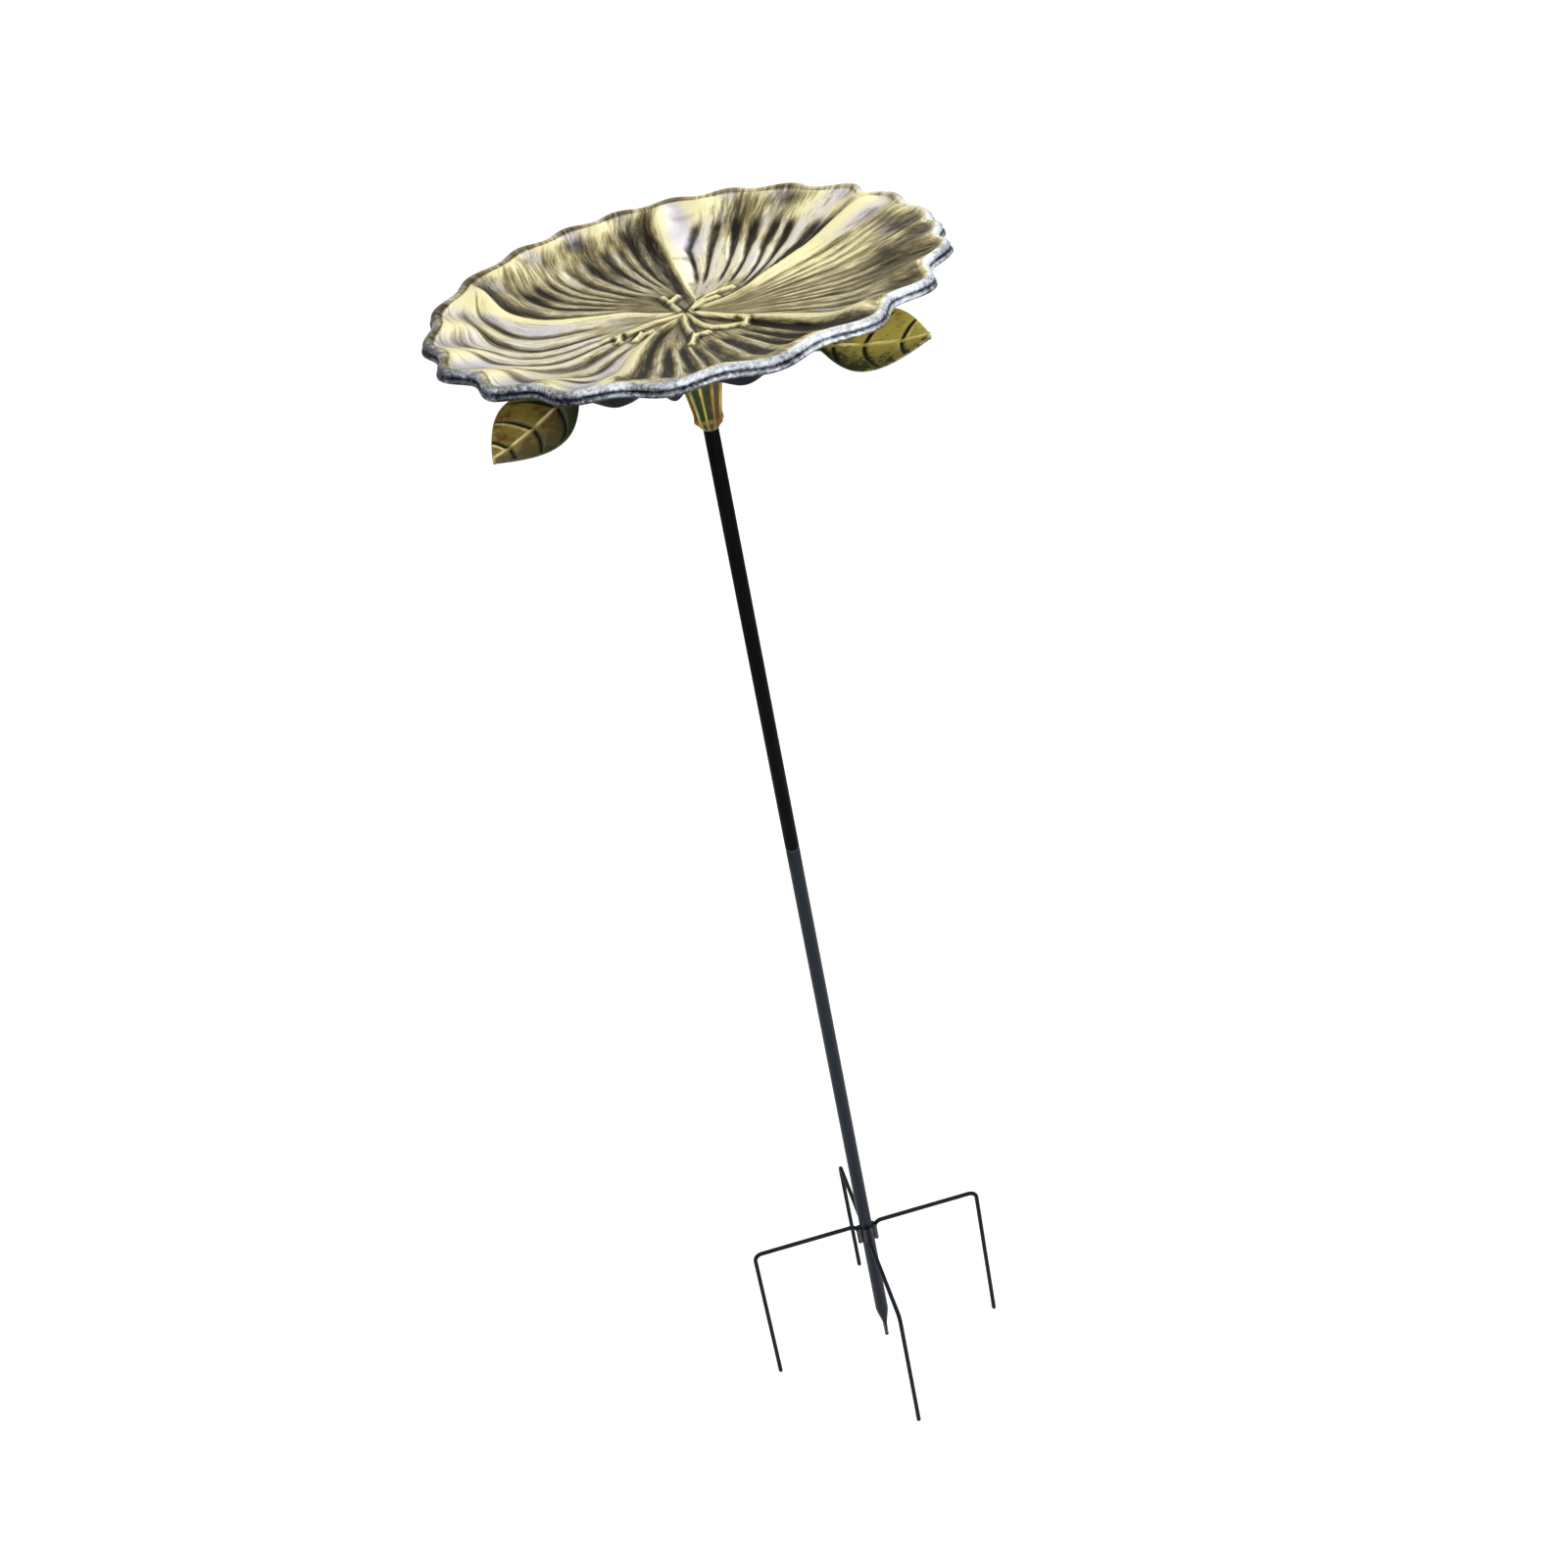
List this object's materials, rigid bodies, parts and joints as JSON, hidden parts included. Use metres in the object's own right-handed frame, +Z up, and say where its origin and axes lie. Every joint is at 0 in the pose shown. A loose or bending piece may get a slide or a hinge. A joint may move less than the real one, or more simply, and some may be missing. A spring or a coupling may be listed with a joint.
{
  "type": "bird feeder on pole",
  "caption": "Shallow scalloped flower-shaped cast dish with two leaves under it, on a slim pole in two screwed lengths that stands on bent wire prongs.",
  "frame": {"origin": "on the pole's axis, level with the tips of the four prongs", "axes": "+Z up along the pole; the side prongs lie along X and the front prong along -Y"},
  "size_m": [0.3093, 0.2984, 0.8694],
  "materials": {
    "dish_casting": "cast, pale champagne gold wash with dark patina in the hollows",
    "leaf_casting": "cast, antique gold paint with dark green grooves",
    "calyx_casting": "cast, antique gold paint, glossy",
    "upper_tube_paint": "satin black powder coat",
    "lower_tube_paint": "satin dark slate powder coat",
    "wire_paint": "satin near-black paint",
    "weld_paint": "painted weld metal",
    "zinc_hardware": "zinc-plated steel",
    "fibre": "red-brown vulcanised fibre"
  },
  "bodies": {
    "lower_pole": {"lower_tube": "lower_tube_paint", "prong_wire_left": "wire_paint", "prong_wire_right": "wire_paint", "prong_wire_front": "wire_paint", "prong_wire_back": "wire_paint", "weld_beads": "weld_paint", "lower_insert": "zinc_hardware"},
    "joint_washer": {"joint_spring_washer": "zinc_hardware"},
    "upper_pole": {"upper_tube": "upper_tube_paint", "upper_insert": "zinc_hardware", "joint_stud": "zinc_hardware", "top_insert": "zinc_hardware", "head_spring_washer": "zinc_hardware", "head_stud": "zinc_hardware", "head_nut": "zinc_hardware", "calyx_socket": "calyx_casting", "leaf_left": "leaf_casting", "leaf_right": "leaf_casting"},
    "dish_washer": {"fibre_washer": "fibre"},
    "dish": {"flower_dish": "dish_casting"}
  },
  "joints": [
    {"name": "joint_washer_lift", "type": "slide", "parent": "lower_pole", "child": "joint_washer", "axis": [0, 0, 1], "range_m": [0, 0.0161]},
    {"name": "upper_pole_unscrew", "type": "hinge", "parent": "joint_washer", "child": "upper_pole", "pos_m": [0, 0, 0.467], "axis": [0, 0, 1], "range_deg": [0, 7200]},
    {"name": "dish_washer_lift", "type": "slide", "parent": "upper_pole", "child": "dish_washer", "axis": [0, 0, 1], "range_m": [0, 0.0137]},
    {"name": "dish_unscrew", "type": "hinge", "parent": "dish_washer", "child": "dish", "pos_m": [0, 0, 0.8242], "axis": [0, 0, 1], "range_deg": [0, 6120]}
  ],
  "couplings": [
    {"joint": "joint_washer_lift", "follows": "upper_pole_unscrew", "m_per_rad": 0.00012732},
    {"joint": "dish_washer_lift", "follows": "dish_unscrew", "m_per_rad": 0.00012732}
  ]
}
